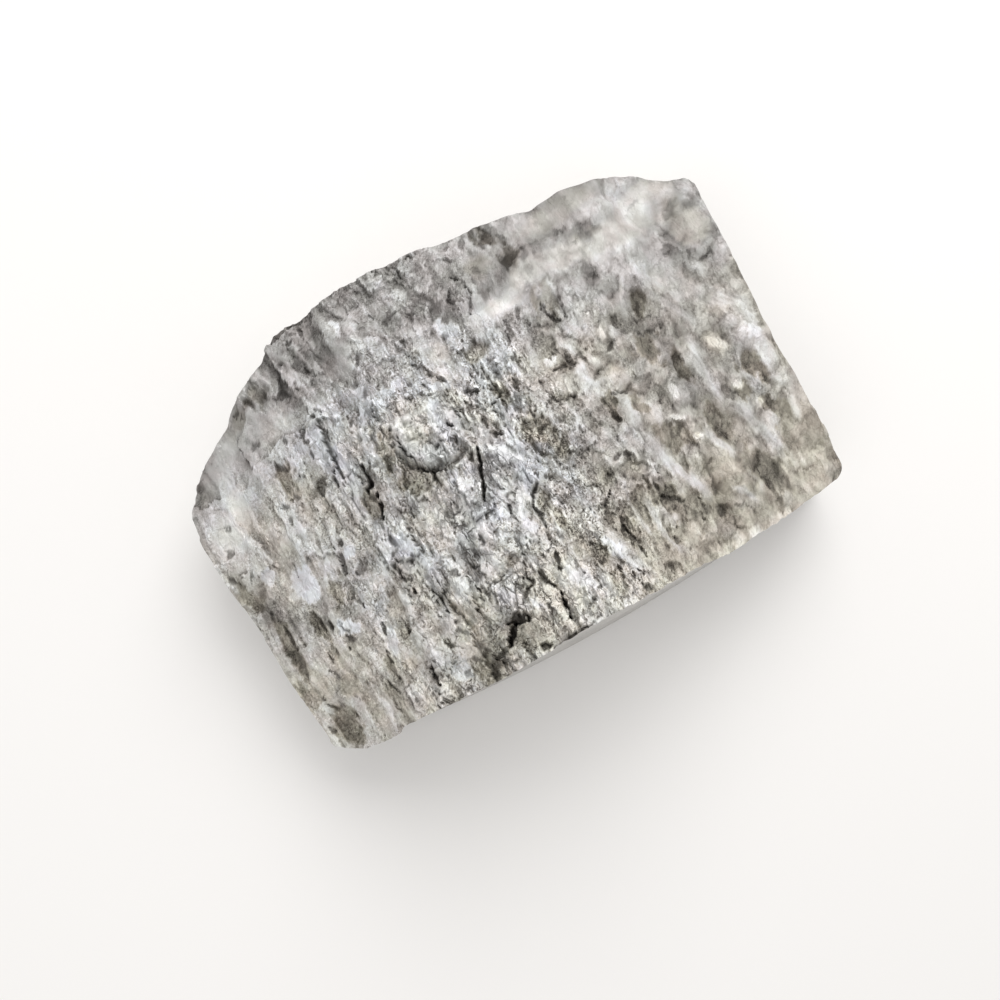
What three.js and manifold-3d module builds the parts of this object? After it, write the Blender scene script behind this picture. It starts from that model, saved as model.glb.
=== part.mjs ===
// The broken-off end of a small cast aluminium ingot, one solid piece of metal.
// It stands on the ingot's cast end, with the rough broken face up, as it rests by itself.
//
// Millimetres. X runs across the ingot's width, Y through its thickness, from the open face that
// the mould left free (the front) to the face that lay on the mould's floor (the back), and
// Z along the ingot's length, from the cast end to the break.
import * as THREE from "three";
import { ImprovedNoise } from "three/addons/math/ImprovedNoise.js";
import { mergeVertices } from "three/addons/utils/BufferGeometryUtils.js";
import Module from "manifold-3d";

const wasm = await Module();
wasm.setup();

// ---- Section of the ingot, at its cast end ----
const WIDTH = 78.4; // at the bevels
const OPEN_FACE_WIDTH = 73;
const THICKNESS = 48.8; // at the sides
const LONG_BEVEL = { across: 23.3, down: 12.5, radius: 9 }; // floor corner on the left
const SHORT_BEVEL = { across: 9.7, down: 5.8, radius: 2.5 }; // floor corner on the right
const OPEN_FACE_BELLY = 2.7; // how far the open face bulges in the middle of the width

// ---- Cast end and draft ----
const END_RADIUS = 1.5; // round edge between the cast end and the walls
const RIM_EXTRA = 0.3; // how much rounder the open face's corners are than the end's edge
const OPEN_FACE_DRAFT = 6.5; // degrees that the open face leans back from the cast end
const SIDE_DRAFT = 1.5; // degrees that each side leans in

// ---- Broken face ----
const CREST_HEIGHT = 31; // the break's ridge, above the cast end, at the open face
const LEFT_HEIGHT = 13; // the break at the left side
const RIGHT_HEIGHT = 11.5; // the break at the right side
const CREST_FROM_LEFT = 33.8; // where the ridge runs, from the left side
const CREST_FALL = 0.15; // fall of the ridge for each millimetre towards the floor face
const CORNER_DROP = { height: 4, reach: 8 }; // further fall at the open face's left corner
const FACET = 1.15; // spacing of the break's facets
const FACET_SHIFT = 0.25; // how far a facet's corner leaves its grid place, in facets

// Grains grew through the thickness, so the break's splinters are long in Y. Each is a flat flake
// with a lift of its own and a tilt in degrees; small splinters lie on the large ones.
const SPLINTERS = [
  { width: 9, length: 22, lift: 1.2, tilt: 8, seed: 3 },
  { width: 4.4, length: 10, lift: 0.65, tilt: 10, seed: 14 },
  { width: 2.6, length: 5.2, lift: 0.4, tilt: 13, seed: 29 },
];
const FRAY = { size: 2.4, reach: 1.3 }; // how far splinter edges wander, and over what length
const SWELL = { size: 17, height: 1.1 }; // slow rise and fall of the whole break
const CALM = { left: 24, right: 8 }; // widths over which the relief dies away towards each side

// A round knot of metal that stayed on this half of the break.
const KNOT = { fromLeft: 30.8, fromOpenFace: 29.4, radius: 4.4, height: 2.8 };

// Cavities and chips in the break. length lies along Y before it is turned.
const CAVITIES = [
  { name: "gash", fromLeft: 29.8, fromOpenFace: 4, length: 5.2, width: 2.6, depth: 3.6, turn: -42 },
  { name: "pocket", fromLeft: 25.8, fromOpenFace: 2, length: 6, width: 3.6, depth: 2.6, turn: -20 },
  { name: "rim_pit", fromLeft: 33.8, fromOpenFace: 0.6, length: 3, width: 5.4, depth: 1.8, turn: 6 },
  { name: "knot_cleft", fromLeft: 29.6, fromOpenFace: 24.9, length: 2.6, width: 8.4, depth: 1.7, turn: 14 },
  { name: "knot_split", fromLeft: 35.1, fromOpenFace: 20.8, length: 8, width: 2.2, depth: 1.8, turn: -18 },
  { name: "left_slot", fromLeft: 22.8, fromOpenFace: 23.8, length: 5, width: 2.4, depth: 1.8, turn: 8 },
  { name: "corner_chip", fromLeft: 6.8, fromOpenFace: 3.2, length: 6.5, width: 4, depth: 2.2, turn: 14 },
  { name: "left_groove", fromLeft: 3, fromOpenFace: 18, length: 13, width: 3.6, depth: 2.4, turn: 4 },
  { name: "floor_scoop", fromLeft: 46.4, fromOpenFace: 46.8, length: 6, width: 9, depth: 3, turn: 14 },
  { name: "floor_hollow", fromLeft: 54.5, fromOpenFace: 47.5, length: 8, width: 12, depth: 2.6, turn: 8 },
  { name: "right_notch", fromLeft: 72.2, fromOpenFace: 40.5, length: 6.5, width: 3, depth: 2.6, turn: -32 },
  { name: "right_slot", fromLeft: 59, fromOpenFace: 7.8, length: 7, width: 2.4, depth: 1.7, turn: 8 },
];

const perlin = new ImprovedNoise();
const radians = THREE.MathUtils.degToRad;

// ---- The cast bar ----

// A closed outline through corners [x, y, radius], each rounded with an arc. Counter-clockwise.
function roundedOutline(corners) {
  const shape = new THREE.Shape();
  corners.forEach(([x, y, radius], i) => {
    const corner = new THREE.Vector2(x, y);
    const before = new THREE.Vector2(...corners.at(i - 1)).sub(corner).normalize();
    const after = new THREE.Vector2(...corners[(i + 1) % corners.length]).sub(corner).normalize();
    const half = Math.acos(before.dot(after)) / 2;
    const bisector = before.clone().add(after).normalize();
    const centre = corner.clone().addScaledVector(bisector, radius / Math.sin(half));
    const trim = radius / Math.tan(half);
    const from = corner.clone().addScaledVector(before, trim).sub(centre);
    const to = corner.clone().addScaledVector(after, trim).sub(centre);
    shape.absarc(centre.x, centre.y, radius, from.angle(), to.angle(), false);
  });
  return shape;
}

// The ingot's section: the open face starts from y = 0 and the floor face is at y = THICKNESS.
function section() {
  const side = WIDTH / 2;
  const openSide = OPEN_FACE_WIDTH / 2;
  // The bulge is one flat corner in the middle, with an arc that takes nine tenths of each side.
  const apex = 1.8 * OPEN_FACE_BELLY;
  const apexRadius = (0.9 * openSide * Math.hypot(openSide, apex)) / apex;
  const rimRadius = END_RADIUS + RIM_EXTRA;
  return roundedOutline([
    [-openSide, 0, rimRadius],
    [0, -apex, apexRadius],
    [openSide, 0, rimRadius],
    [side, THICKNESS - SHORT_BEVEL.down, SHORT_BEVEL.radius],
    [side - SHORT_BEVEL.across, THICKNESS, SHORT_BEVEL.radius],
    [-side + LONG_BEVEL.across, THICKNESS, LONG_BEVEL.radius],
    [-side, THICKNESS - LONG_BEVEL.down, LONG_BEVEL.radius],
  ]);
}

// Leans the walls: the open face goes back and the sides go in, in step with the height.
function draft(geometry) {
  const place = geometry.getAttribute("position");
  for (let i = 0; i < place.count; i++) {
    const [x, y, z] = [place.getX(i), place.getY(i), place.getZ(i)];
    const lean = 1 - (z * Math.tan(radians(OPEN_FACE_DRAFT))) / THICKNESS;
    const close = 1 - (z * Math.tan(radians(SIDE_DRAFT))) / (WIDTH / 2);
    place.setXYZ(i, x * close, THICKNESS - (THICKNESS - y) * lean, z);
  }
  return geometry;
}

function castBar(length) {
  const bar = new THREE.ExtrudeGeometry(section(), {
    depth: length,
    curveSegments: 4,
    bevelThickness: END_RADIUS,
    bevelSize: END_RADIUS,
    bevelOffset: -END_RADIUS,
    bevelSegments: 4,
  });
  bar.translate(0, 0, END_RADIUS);
  return draft(bar);
}

// ---- The break ----

// The broad ridge that the two halves parted along, before any roughness.
function ridgeHeight(x, y) {
  const crest = -WIDTH / 2 + CREST_FROM_LEFT;
  const reach = x < crest ? CREST_FROM_LEFT : WIDTH - CREST_FROM_LEFT;
  const share = Math.cos((Math.PI / 2) * Math.min(1, Math.abs(x - crest) / reach)) ** 2;
  const low = x < crest ? LEFT_HEIGHT : RIGHT_HEIGHT;
  const toCorner = Math.hypot(x + WIDTH / 2, y);
  const drop = CORNER_DROP.height * Math.exp(-((toCorner / CORNER_DROP.reach) ** 2));
  return low + share * (CREST_HEIGHT - low - CREST_FALL * y) - drop;
}

// Repeatable scatter: a number from -1 to 1 for a cell of the splinters' grid.
function scatter(i, j, seed) {
  return 2 * THREE.MathUtils.seededRandom(i * 7919 + j * 104729 + seed * 1299709) - 1;
}

// Height of the flake that covers a point: the flake whose middle is nearest.
function flakeHeight(x, y, { width, length, lift, tilt, seed }) {
  const [column, row] = [Math.floor(x / width), Math.floor(y / length)];
  const slope = Math.tan(radians(tilt));
  let nearest = Infinity;
  let height = 0;
  for (let i = column - 1; i <= column + 1; i++) {
    for (let j = row - 1; j <= row + 1; j++) {
      const dx = x - width * (i + 0.5 + 0.45 * scatter(i, j, seed));
      const dy = y - length * (j + 0.5 + 0.45 * scatter(i, j, seed + 1));
      const distance = Math.hypot(dx / width, dy / length);
      if (distance > nearest) continue;
      nearest = distance;
      const lean = scatter(i, j, seed + 3) * dx + 0.4 * scatter(i, j, seed + 4) * dy;
      height = lift * scatter(i, j, seed + 2) + slope * lean;
    }
  }
  return height;
}

function splinterRelief(x, y) {
  const wanderX = FRAY.reach * perlin.noise(x / FRAY.size, y / FRAY.size, 1.5);
  const wanderY = FRAY.reach * perlin.noise(x / FRAY.size, y / FRAY.size, 9.5);
  let relief = SWELL.height * perlin.noise(x / SWELL.size, y / SWELL.size, 4.5);
  for (const layer of SPLINTERS) relief += flakeHeight(x + wanderX, y + wanderY, layer);
  const calm = Math.min(1, (WIDTH / 2 + x) / CALM.left, (WIDTH / 2 - x) / CALM.right);
  return relief * Math.max(0, calm);
}

// How far inside an oval the point lies: 1 at its centre, 0 at its edge and outside.
function inOval(x, y, { fromLeft, fromOpenFace, length, width, turn = 0 }) {
  const dx = x + WIDTH / 2 - fromLeft;
  const dy = y - fromOpenFace;
  const [c, s] = [Math.cos(radians(turn)), Math.sin(radians(turn))];
  const across = (dx * c + dy * s) / (width / 2);
  const along = (dy * c - dx * s) / (length / 2);
  return Math.max(0, 1 - across ** 2 - along ** 2);
}

function knotHeight(x, y) {
  const size = 2 * KNOT.radius;
  return KNOT.height * Math.sqrt(inOval(x, y, { ...KNOT, length: size, width: size }));
}

function cavityDepth(x, y) {
  let depth = 0;
  for (const c of CAVITIES) depth = Math.max(depth, c.depth * Math.sqrt(inOval(x, y, c)));
  return depth;
}

function breakHeight(x, y) {
  return ridgeHeight(x, y) + splinterRelief(x, y) + knotHeight(x, y) - cavityDepth(x, y);
}

// The other half of the ingot: a block whose underside is the break, to cut away from the bar.
function otherHalf(height) {
  const margin = 2 * FACET;
  const [spanX, spanY] = [WIDTH + 2 * margin, THICKNESS + 2 * margin];
  const [cellsX, cellsY] = [Math.round(spanX / FACET), Math.round(spanY / FACET)];
  const block = new THREE.BoxGeometry(spanX, spanY, height, cellsX, cellsY, 1);
  block.translate(0, THICKNESS / 2, height / 2);
  const place = block.getAttribute("position");
  for (let i = 0; i < place.count; i++) {
    if (place.getZ(i) > 0) continue;
    const [x, y] = [place.getX(i), place.getY(i)];
    const inside = Math.abs(x) < WIDTH / 2 + FACET && Math.abs(y - THICKNESS / 2) < THICKNESS / 2 + FACET;
    const shift = inside ? 2 * FACET * FACET_SHIFT : 0;
    const [sx, sy] = [x + shift * perlin.noise(x, y, 0.5), y + shift * perlin.noise(x, y, 7.5)];
    place.setXYZ(i, sx, sy, breakHeight(sx, sy));
  }
  return block;
}

// ---- Solids ----

function solidOf(geometry) {
  const bare = geometry.clone();
  bare.deleteAttribute("normal");
  bare.deleteAttribute("uv");
  const merged = mergeVertices(bare, 1e-4);
  return new wasm.Manifold(
    new wasm.Mesh({
      numProp: 3,
      vertProperties: merged.getAttribute("position").array,
      triVerts: new Uint32Array(merged.index.array),
    }),
  );
}

function geometryOf(solid) {
  const { vertProperties, triVerts } = solid.getMesh();
  const geometry = new THREE.BufferGeometry();
  geometry.setAttribute("position", new THREE.BufferAttribute(vertProperties, 3));
  geometry.setIndex(new THREE.BufferAttribute(triVerts, 1));
  return geometry;
}

const barLength = 1.5 * CREST_HEIGHT;
const broken = solidOf(castBar(barLength)).subtract(solidOf(otherHalf(2 * barLength)));

const pieceGeometry = geometryOf(broken);
pieceGeometry.computeBoundingBox();
const box = pieceGeometry.boundingBox;
pieceGeometry.translate(-(box.min.x + box.max.x) / 2, -(box.min.y + box.max.y) / 2, -box.min.z);

const aluminium = new THREE.MeshStandardMaterial({ color: 0xa9a7a2, roughness: 0.5, metalness: 0.9 });
const piece = new THREE.Mesh(pieceGeometry, aluminium);
piece.name = "ingot_piece";

const ingot = new THREE.Group();
ingot.add(piece);
export default ingot;
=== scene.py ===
"""A piece of aluminium ingot, broken off the end of the cast bar: its looks.

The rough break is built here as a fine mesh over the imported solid's own break, and the cast
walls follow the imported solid's section. Lengths are in millimetres until the mesh is made.
"""
import math

import bpy
import numpy as np
from mathutils import Matrix, Vector
from mathutils.bvhtree import BVHTree


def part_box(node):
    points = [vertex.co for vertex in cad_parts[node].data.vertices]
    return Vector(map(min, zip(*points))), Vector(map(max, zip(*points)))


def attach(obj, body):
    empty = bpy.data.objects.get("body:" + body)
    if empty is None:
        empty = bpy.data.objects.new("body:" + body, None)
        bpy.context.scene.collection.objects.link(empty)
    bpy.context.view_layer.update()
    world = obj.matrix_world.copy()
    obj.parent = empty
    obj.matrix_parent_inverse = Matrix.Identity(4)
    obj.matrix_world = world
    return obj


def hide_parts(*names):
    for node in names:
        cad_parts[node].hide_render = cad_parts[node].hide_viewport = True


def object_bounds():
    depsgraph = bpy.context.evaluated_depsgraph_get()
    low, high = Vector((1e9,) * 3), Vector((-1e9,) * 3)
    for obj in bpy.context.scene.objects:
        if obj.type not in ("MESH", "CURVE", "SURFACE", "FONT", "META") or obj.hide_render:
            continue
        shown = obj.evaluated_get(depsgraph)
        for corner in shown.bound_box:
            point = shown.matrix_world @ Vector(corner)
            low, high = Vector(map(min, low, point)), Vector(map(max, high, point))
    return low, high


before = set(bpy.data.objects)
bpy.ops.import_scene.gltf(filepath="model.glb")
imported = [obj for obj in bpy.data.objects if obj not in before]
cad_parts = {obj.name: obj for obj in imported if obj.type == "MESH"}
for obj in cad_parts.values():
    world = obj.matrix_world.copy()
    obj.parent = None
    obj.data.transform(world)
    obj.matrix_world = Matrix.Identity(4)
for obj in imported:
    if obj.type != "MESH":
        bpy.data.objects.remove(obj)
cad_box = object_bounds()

MM = 0.001

# ---- The bar's section and draft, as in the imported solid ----
WIDTH = 78.4
OPEN_FACE_WIDTH = 73.0
THICKNESS = 48.8
LONG_BEVEL = (23.3, 12.5, 9.0)  # across, down, radius
SHORT_BEVEL = (9.7, 5.8, 2.5)
OPEN_FACE_BELLY = 2.7
END_RADIUS = 1.5
RIM_RADIUS = 1.8
OPEN_FACE_DRAFT = math.radians(6.5)
SIDE_DRAFT = math.radians(1.5)

# ---- Mesh density ----
COLUMNS, ROWS = 420, 200  # quads over the break, across and along the grain
WALL_ROWS = 9
WALL_CROWDING = 1.7  # how much closer the rows lie near the break
END_ROWS = 3
CORNER_INSET = 0.4  # how far inside the open face's corners the grid's corners lie
TEAR_DEPTH = 1.0  # how far down the walls the torn edge shows
BASE_GRID = 0.5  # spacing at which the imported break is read
BASE_BLUR = 0.7  # how far its facets are smoothed
TOP_MARGIN = 1.2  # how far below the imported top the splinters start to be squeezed
TOP_SQUEEZE = 1.5  # the most that they rise from there

# ---- The view ----
VIEW_TURN = math.radians(28.8)  # how far the ingot's width is turned up from the picture's level
VIEW_TILT = math.radians(4.0)  # how far the view leans from straight down
CAMERA_AT = (-7.72, -12.87, 150.47)
SENSOR, LENS = 36, 39.6  # millimetres
FRAME = 1000  # the picture's side, in pixels
FOCAL = FRAME * LENS / SENSOR
CREST = 30.0  # about how high the break's crest stands
GRAIN_TURN = math.pi / 2 + VIEW_TURN  # how the grain lies in the picture

up_flat = np.array([math.sin(VIEW_TURN), math.cos(VIEW_TURN), 0])
right = np.array([math.cos(VIEW_TURN), -math.sin(VIEW_TURN), 0])
view = np.array([0, 0, -math.cos(VIEW_TILT)]) + up_flat * math.sin(VIEW_TILT)
up = np.cross(right, view)

back_y = cad_box[1][1] / MM  # the mould-floor face, which has no draft


# ---- Noise ----
def scatter(i, j, seed):
    """Repeatable numbers from 0 to 1 for the cells (i, j)."""
    h = (i.astype(np.int64) * 374761393 + j.astype(np.int64) * 668265263 + seed * 362437) & 0xFFFFFFFF
    h = ((h ^ (h >> 13)) * 1274126177) & 0xFFFFFFFF
    h = ((h ^ (h >> 16)) * 2246822519) & 0xFFFFFFFF
    return ((h ^ (h >> 15)) & 0xFFFFFF) / float(1 << 24)


def noise(x, y, seed):
    """Smooth gradient noise, about -1 to 1."""
    i, j = np.floor(x), np.floor(y)
    fx, fy = x - i, y - j
    u = fx * fx * fx * (fx * (fx * 6 - 15) + 10)
    v = fy * fy * fy * (fy * (fy * 6 - 15) + 10)

    def corner(di, dj):
        a = 2 * math.pi * scatter(i + di, j + dj, seed)
        return np.cos(a) * (fx - di) + np.sin(a) * (fy - dj)

    low = corner(0, 0) * (1 - u) + corner(1, 0) * u
    high = corner(0, 1) * (1 - u) + corner(1, 1) * u
    return 1.5 * (low * (1 - v) + high * v)


def layered(x, y, seed, layers=4, gain=0.55):
    """Noise with finer and weaker layers added."""
    total, size = 0.0, 1.0
    for k in range(layers):
        total = total + size * noise(x * 2**k, y * 2**k, seed + 17 * k)
        size *= gain
    return total


def shingles(x, y, width, length, seed, steep=1.3, dome=0.0):
    """Torn flakes that overlap, long in y. Gives the top one's height (about -1 to 1), its own
    number (0 to 1) and where each point lies on it (0 at its middle, 1 at its edge)."""
    i0, j0 = np.floor(x / width), np.floor(y / length)
    top = np.full(x.shape, -9.0)
    number = np.zeros(x.shape)
    reach = np.zeros(x.shape)
    for di in (-1, 0, 1):
        for dj in (-1, 0, 1):
            i, j = i0 + di, j0 + dj
            pick = [scatter(i, j, seed + k) for k in range(8)]
            dx = x - (i + 0.15 + 0.7 * pick[0]) * width
            dy = y - (j + 0.15 + 0.7 * pick[1]) * length
            turn = 0.9 * (pick[2] - 0.5)
            across = (dx * np.cos(turn) + dy * np.sin(turn)) / width
            along = (dy * np.cos(turn) - dx * np.sin(turn)) / length
            r = np.hypot(across, along) / (0.6 + 0.45 * pick[3])
            height = 1.2 * (pick[4] - 0.5) + 2.4 * (pick[5] - 0.5) * across + 1.4 * (pick[6] - 0.5) * along
            height = height - steep * smooth(r, 0.88, 1.02) - dome * r * r
            over = height > top
            top = np.where(over, height, top)
            number = np.where(over, pick[7], number)
            reach = np.where(over, r, reach)
    return top, number, np.clip(reach, 0, 1)


def smooth(x, low, high):
    """0 up to low, 1 from high on, and a smooth rise between."""
    t = np.clip((x - low) / (high - low), 0, 1)
    return t * t * (3 - 2 * t)


# ---- Section ----
def rounded(corners, step=0.25):
    """Points along a closed outline through corners (x, y, radius), counter-clockwise."""
    points = []
    for k, (x, y, radius) in enumerate(corners):
        here = np.array([x, y])
        before = np.array(corners[k - 1][:2]) - here
        after = np.array(corners[(k + 1) % len(corners)][:2]) - here
        before, after = before / np.linalg.norm(before), after / np.linalg.norm(after)
        half = math.acos(before @ after) / 2
        middle = before + after
        centre = here + middle / np.linalg.norm(middle) * radius / math.sin(half)
        start = here + before * radius / math.tan(half) - centre
        a0 = math.atan2(start[1], start[0])
        turn = math.pi - 2 * half
        for t in np.linspace(0, 1, max(6, int(radius * turn / step))):
            a = a0 + turn * t
            points.append(centre + radius * np.array([math.cos(a), math.sin(a)]))
    return np.array(points)


def section_outline():
    side, open_side = WIDTH / 2, OPEN_FACE_WIDTH / 2
    apex = 1.8 * OPEN_FACE_BELLY
    apex_radius = 0.9 * open_side * math.hypot(open_side, apex) / apex
    return rounded(
        [
            (-open_side, 0, RIM_RADIUS),
            (0, -apex, apex_radius),
            (open_side, 0, RIM_RADIUS),
            (side, THICKNESS - SHORT_BEVEL[1], SHORT_BEVEL[2]),
            (side - SHORT_BEVEL[0], THICKNESS, SHORT_BEVEL[2]),
            (-side + LONG_BEVEL[0], THICKNESS, LONG_BEVEL[2]),
            (-side, THICKNESS - LONG_BEVEL[1], LONG_BEVEL[2]),
        ]
    )


def outward(outline):
    """The direction that faces out at each of an outline's points."""
    ahead = np.roll(outline, -1, 0) - np.roll(outline, 1, 0)
    return np.stack([ahead[:, 1], -ahead[:, 0]], 1) / np.linalg.norm(ahead, axis=1)[:, None]


def torn(outline):
    """The outline as the break left it: chipped in places, and with lips that stand proud."""
    x, y = outline[:, 0], outline[:, 1]
    open_face = smooth(-y, -4, -1)
    chips = 0.3 * layered(x / 2.4, y / 2.4, 131, 3, 0.6) + 0.25 * noise(x / 6, y / 6, 137) - 0.15
    shift = chips + open_face * (0.12 * layered(x / 0.8, y / 0.8, 139, 2) - 0.8 * chips)
    proud = 0.25 + 0.5 * smooth(-x, 4, 9) + 0.6 * smooth(-x, 26.4, 27.2) + 0.5 * smooth(x, 13, 19)
    shift += open_face * proud
    shift += 0.6 * smooth(y, 36, 40) * smooth(-x, 14, 20)
    shift -= 1.3 * smooth(-x, 32, 36) * smooth(-y, -8, -1)
    return outline + outward(outline) * shift[:, None]


def between(outline, start, end, count):
    """Where to sample the outline, from near start round to near end, in count even steps."""
    length = lengths(outline)
    at = [length[np.argmin(np.linalg.norm(outline - p, axis=1))] for p in (start, end)]
    if at[1] <= at[0]:
        at[1] += length[-1]
    return np.linspace(at[0], at[1], count + 1) % length[-1]


def lengths(outline):
    steps = np.linalg.norm(np.roll(outline, -1, 0) - outline, axis=1)
    return np.concatenate([[0], np.cumsum(steps)])


def sample(outline, shape, s):
    """Points of shape, which has the outline's point count, at the outline's lengths s."""
    loop = np.vstack([shape, shape[:1]])
    return np.stack([np.interp(s, lengths(outline), loop[:, k]) for k in (0, 1)], 1)


def place(x, y, z):
    """Section coordinates to the row frame at height z: the walls lean in with height."""
    close = 1 - z * math.tan(SIDE_DRAFT) / (WIDTH / 2)
    lean = 1 - z * math.tan(OPEN_FACE_DRAFT) / THICKNESS
    return x * close, back_y - (THICKNESS - y) * lean


# ---- The break's broad shape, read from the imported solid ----
def read_base():
    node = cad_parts["ingot_piece"]
    mesh = node.data
    tree = BVHTree.FromPolygons([v.co[:] for v in mesh.vertices], [p.vertices[:] for p in mesh.polygons])
    (x0, y0, _), (x1, y1, top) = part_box("ingot_piece")
    xs = np.arange(x0 / MM - 2, x1 / MM + 2, BASE_GRID)
    ys = np.arange(y0 / MM - 2, y1 / MM + 2, BASE_GRID)
    height = np.zeros((len(ys), len(xs)))
    weight = np.zeros_like(height)
    down = Vector((0, 0, -1))
    for j, y in enumerate(ys):
        for i, x in enumerate(xs):
            hit, normal, _, _ = tree.ray_cast(Vector((x * MM, y * MM, top + 0.01)), down)
            if hit is not None and normal.z > 0.25:
                height[j, i], weight[j, i] = hit.z / MM, 1.0
    reach = int(4 * BASE_BLUR / BASE_GRID)
    kernel = np.exp(-0.5 * (np.arange(-reach, reach + 1) * BASE_GRID / BASE_BLUR) ** 2)

    def blur(a):
        a = np.apply_along_axis(np.convolve, 0, a, kernel, "same")
        return np.apply_along_axis(np.convolve, 1, a, kernel, "same")

    return xs, ys, blur(height * weight) / np.maximum(blur(weight), 1e-6)


def look_up(table, x, y):
    xs, ys, values = table
    u = np.clip((x - xs[0]) / BASE_GRID, 0, len(xs) - 1.001)
    v = np.clip((y - ys[0]) / BASE_GRID, 0, len(ys) - 1.001)
    i, j = u.astype(int), v.astype(int)
    fu, fv = u - i, v - j
    low = values[j, i] * (1 - fu) + values[j, i + 1] * fu
    high = values[j + 1, i] * (1 - fu) + values[j + 1, i + 1] * fu
    return low * (1 - fv) + high * fv


# ---- Marks on the break ----
# Placed from the photograph: a place is a pixel of its 1000 by 1000 frame, lengths and widths
# are in its pixels, and a turn is anticlockwise from the picture's level, in degrees. Depths, rises
# and drops are in millimetres.
# Cracks: points along, width, depth.
CRACKS = [
    (((477, 443), (480, 462), (483, 480), (486, 505)), 5, 1.8),
    (((471, 450), (472, 461)), 4, 0.8),
    (((397, 435), (401, 446), (408, 456), (416, 463), (424, 469), (434, 472), (448, 469)), 4, 1.0),
    (((446, 422), (453, 430)), 4.5, 0.9),
    (((455, 435), (459, 452)), 3, 0.6),
    (((538, 481), (532, 495), (534, 506), (542, 516), (546, 530)), 4, 0.8),
    (((508, 503), (511, 515)), 4, 0.8),
    (((490, 410), (498, 400), (503, 386)), 3, 0.6),
    (((490, 432), (505, 436)), 5, 0.9),
    (((482, 418), (487, 429)), 5, 0.7),
    (((377, 493), (382, 505), (384, 522)), 6, 1.3),
    (((360, 464), (368, 476), (372, 484), (366, 493)), 5, 1.1),
    (((410, 510), (415, 520)), 3, 0.6),
    (((305, 369), (311, 374), (318, 378)), 4.5, 0.7),
    (((358, 352), (358, 372)), 3.5, 0.7),
    (((296, 386), (301, 396)), 5, 0.6),
    (((246, 441), (256, 447), (262, 460)), 9, 0.25),
    (((262, 480), (261, 498), (260, 530)), 11, 0.12),
    (((341, 553), (348, 576)), 6, 0.7),
    (((293, 562), (300, 578)), 4, 0.6),
    (((312, 612), (320, 618), (328, 634)), 5, 0.8),
    (((283, 625), (292, 640), (299, 652)), 8, 0.9),
    (((338, 622), (346, 629), (352, 636)), 4, 0.6),
    (((383, 620), (387, 636)), 4, 0.6),
    (((386, 650), (395, 668)), 3, 0.5),
    (((398, 570), (402, 578), (411, 585)), 4, 0.8),
    (((415, 588), (416, 595)), 4.5, 0.7),
    (((431, 590), (440, 594), (445, 605), (451, 616)), 3.5, 0.8),
    (((410, 627), (410, 635)), 5, 0.7),
    (((432, 665), (436, 677), (442, 688)), 5, 0.9),
    (((521, 578), (530, 579), (534, 583), (527, 592), (524, 602)), 3.5, 0.8),
    (((523, 562), (527, 573)), 3.5, 0.6),
    (((538, 570), (545, 580), (552, 587), (558, 589)), 3.5, 0.8),
    (((560, 590), (566, 603), (572, 620)), 3.5, 1.3),
    (((516, 641), (525, 645), (532, 655), (539, 662)), 3.5, 0.7),
    (((555, 552), (558, 560), (561, 573)), 5, 0.8),
    (((470, 569), (481, 566)), 3.5, 0.5),
    (((476, 585), (481, 592), (485, 602)), 4, 0.6),
    (((386, 318), (402, 314)), 4, 0.6),
    (((447, 279), (458, 283), (468, 292), (471, 300), (470, 318)), 4.5, 0.7),
    (((540, 303), (546, 312), (562, 323)), 6, 0.9),
    (((557, 290), (563, 310), (567, 320)), 3, 0.5),
    (((505, 321), (511, 332), (516, 340)), 5, 0.5),
    (((552, 372), (560, 368), (568, 363)), 5, 0.6),
    (((613, 341), (608, 354)), 6, 0.8),
    (((632, 380), (625, 392), (605, 397)), 4, 0.7),
    (((660, 495), (675, 498), (686, 501)), 5, 0.6),
    (((712, 458), (706, 466), (712, 480), (718, 496)), 5, 0.8),
    (((742, 466), (748, 476), (756, 484)), 4, 0.6),
    (((732, 505), (748, 506), (758, 516)), 4, 0.7),
    (((614, 463), (618, 456), (634, 455)), 4, 0.4),
    (((604, 508), (610, 492)), 4, 0.7),
    (((620, 525), (628, 532), (640, 546), (647, 560)), 4, 0.6),
    (((720, 362), (735, 360)), 4, 0.5),
    (((553, 650), (566, 640), (580, 631), (593, 625)), 7, 1.0),
]
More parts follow.
